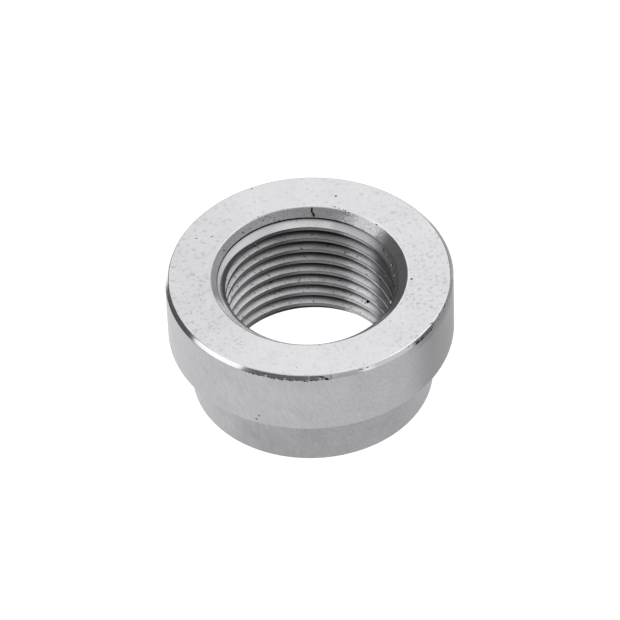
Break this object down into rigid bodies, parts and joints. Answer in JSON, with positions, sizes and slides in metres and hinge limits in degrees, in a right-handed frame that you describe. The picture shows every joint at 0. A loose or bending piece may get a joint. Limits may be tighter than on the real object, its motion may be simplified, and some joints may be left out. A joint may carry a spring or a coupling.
{
  "type": "oxygen sensor weld bung",
  "caption": "Stepped round steel weld bung with a through thread, countersunk at both ends, welded into an exhaust pipe to hold an oxygen sensor.",
  "frame": {"origin": "centre of the spigot's end face, on the thread's axis", "axes": "+Z along the thread's axis from the spigot to the flange, the way the sensor comes out; +X and +Y square to it, with -Y the side nearest the picture's camera"},
  "size_m": [0.028, 0.028, 0.0135],
  "materials": {
    "turned_steel": "bare steel as turned, faced top and fine tool marks on the round walls"
  },
  "bodies": {
    "root": {"weld_bung": "turned_steel"}
  },
  "joints": []
}
